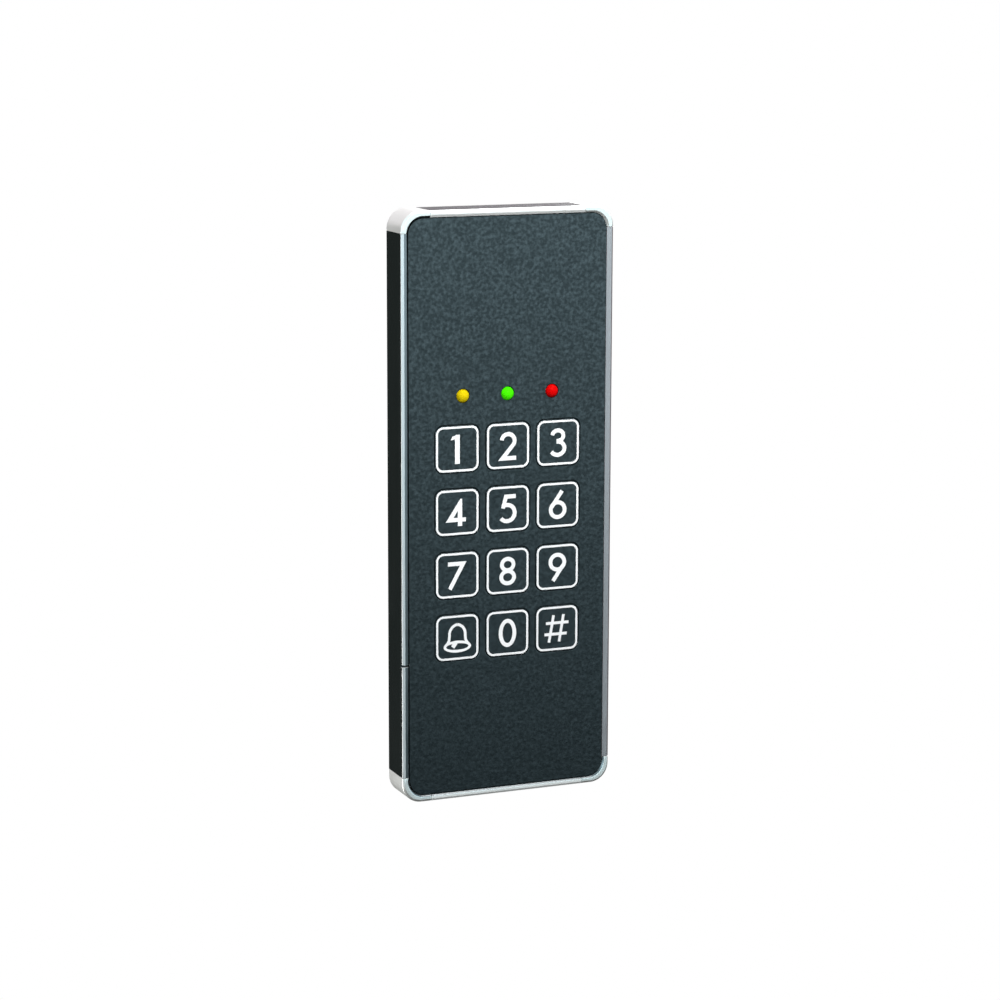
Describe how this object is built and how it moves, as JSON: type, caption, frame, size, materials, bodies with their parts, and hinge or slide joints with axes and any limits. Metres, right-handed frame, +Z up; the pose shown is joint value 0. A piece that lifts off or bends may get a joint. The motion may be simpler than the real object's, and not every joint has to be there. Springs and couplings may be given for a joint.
{
  "type": "keypad access reader",
  "caption": "Slim upright wall-mounted access reader with a numeric keypad, bell key, indicator lamps, metal corner caps and a screw-on wall plate.",
  "frame": {"origin": "middle of the wall plate's rear face, in the wall plane", "axes": "+Z up along the reader's height, +Y into the wall, so the keys face -Y, +X to the right as seen from the front"},
  "size_m": [0.052, 0.0133, 0.1366],
  "materials": {
    "housing_black": "smooth glossy moulded black",
    "plate_black": "fine moulded texture",
    "panel_texture": "fine leather-like grain, dark blue grey",
    "key_texture": "same fine grain as the panel",
    "satin_metal": "satin, bead blasted",
    "edge_metal": "bright drawn strip",
    "white_plastic": "plain white",
    "stem_plastic": "natural, smooth",
    "lamp_amber": "coloured cast resin",
    "lamp_green": "coloured cast resin",
    "lamp_red": "coloured cast resin",
    "board_green": "solder mask",
    "chip_black": "moulded epoxy package",
    "part_ceramic": "fired ceramic chip",
    "winding_copper": "enamelled copper wire",
    "screw_steel": "plated steel",
    "seal_rubber": "soft black"
  },
  "bodies": {
    "reader": {"wall_plate": "plate_black", "housing": "housing_black", "front_panel": "panel_texture", "panel_gasket": "seal_rubber", "corner_cap_top_left": "satin_metal", "corner_cap_top_right": "satin_metal", "corner_cap_bottom_left": "satin_metal", "corner_cap_bottom_right": "satin_metal", "edge_strip_left": "edge_metal", "edge_strip_right": "edge_metal", "edge_strip_top": "edge_metal", "edge_strip_bottom": "edge_metal", "led_amber": "lamp_amber", "led_green": "lamp_green", "led_red": "lamp_red", "led_legs": "screw_steel", "main_board": "board_green", "switch_bodies": "chip_black", "antenna_coil": "winding_copper", "reader_chip": "chip_black", "microcontroller": "chip_black", "regulator": "chip_black", "crystal": "screw_steel", "chip_parts": "part_ceramic", "buzzer": "chip_black", "cable_header": "white_plastic", "cable_gland": "seal_rubber", "tamper_switch": "chip_black", "board_screws": "screw_steel", "lock_screw": "screw_steel"},
    "tamper_pin": {"tamper_plunger": "white_plastic"},
    "button_1": {"key_1": "key_texture", "switch_stem_1": "stem_plastic"},
    "button_2": {"key_2": "key_texture", "switch_stem_2": "stem_plastic"},
    "button_3": {"key_3": "key_texture", "switch_stem_3": "stem_plastic"},
    "button_4": {"key_4": "key_texture", "switch_stem_4": "stem_plastic"},
    "button_5": {"key_5": "key_texture", "switch_stem_5": "stem_plastic"},
    "button_6": {"key_6": "key_texture", "switch_stem_6": "stem_plastic"},
    "button_7": {"key_7": "key_texture", "switch_stem_7": "stem_plastic"},
    "button_8": {"key_8": "key_texture", "switch_stem_8": "stem_plastic"},
    "button_9": {"key_9": "key_texture", "switch_stem_9": "stem_plastic"},
    "button_bell": {"key_bell": "key_texture", "switch_stem_bell": "stem_plastic"},
    "button_0": {"key_0": "key_texture", "switch_stem_0": "stem_plastic"},
    "button_hash": {"key_hash": "key_texture", "switch_stem_hash": "stem_plastic"}
  },
  "joints": [
    {"name": "tamper_press", "type": "slide", "parent": "reader", "child": "tamper_pin", "axis": [0, -1, 0], "range_m": [0, 0.001], "stiffness_N_per_m": 400, "springref_m": -0.001},
    {"name": "press_1", "type": "slide", "parent": "reader", "child": "button_1", "axis": [0, 1, 0], "range_m": [0, 0.0005], "stiffness_N_per_m": 2000, "springref_m": -0.0005},
    {"name": "press_2", "type": "slide", "parent": "reader", "child": "button_2", "axis": [0, 1, 0], "range_m": [0, 0.0005], "stiffness_N_per_m": 2000, "springref_m": -0.0005},
    {"name": "press_3", "type": "slide", "parent": "reader", "child": "button_3", "axis": [0, 1, 0], "range_m": [0, 0.0005], "stiffness_N_per_m": 2000, "springref_m": -0.0005},
    {"name": "press_4", "type": "slide", "parent": "reader", "child": "button_4", "axis": [0, 1, 0], "range_m": [0, 0.0005], "stiffness_N_per_m": 2000, "springref_m": -0.0005},
    {"name": "press_5", "type": "slide", "parent": "reader", "child": "button_5", "axis": [0, 1, 0], "range_m": [0, 0.0005], "stiffness_N_per_m": 2000, "springref_m": -0.0005},
    {"name": "press_6", "type": "slide", "parent": "reader", "child": "button_6", "axis": [0, 1, 0], "range_m": [0, 0.0005], "stiffness_N_per_m": 2000, "springref_m": -0.0005},
    {"name": "press_7", "type": "slide", "parent": "reader", "child": "button_7", "axis": [0, 1, 0], "range_m": [0, 0.0005], "stiffness_N_per_m": 2000, "springref_m": -0.0005},
    {"name": "press_8", "type": "slide", "parent": "reader", "child": "button_8", "axis": [0, 1, 0], "range_m": [0, 0.0005], "stiffness_N_per_m": 2000, "springref_m": -0.0005},
    {"name": "press_9", "type": "slide", "parent": "reader", "child": "button_9", "axis": [0, 1, 0], "range_m": [0, 0.0005], "stiffness_N_per_m": 2000, "springref_m": -0.0005},
    {"name": "press_bell", "type": "slide", "parent": "reader", "child": "button_bell", "axis": [0, 1, 0], "range_m": [0, 0.0005], "stiffness_N_per_m": 2000, "springref_m": -0.0005},
    {"name": "press_0", "type": "slide", "parent": "reader", "child": "button_0", "axis": [0, 1, 0], "range_m": [0, 0.0005], "stiffness_N_per_m": 2000, "springref_m": -0.0005},
    {"name": "press_hash", "type": "slide", "parent": "reader", "child": "button_hash", "axis": [0, 1, 0], "range_m": [0, 0.0005], "stiffness_N_per_m": 2000, "springref_m": -0.0005}
  ]
}
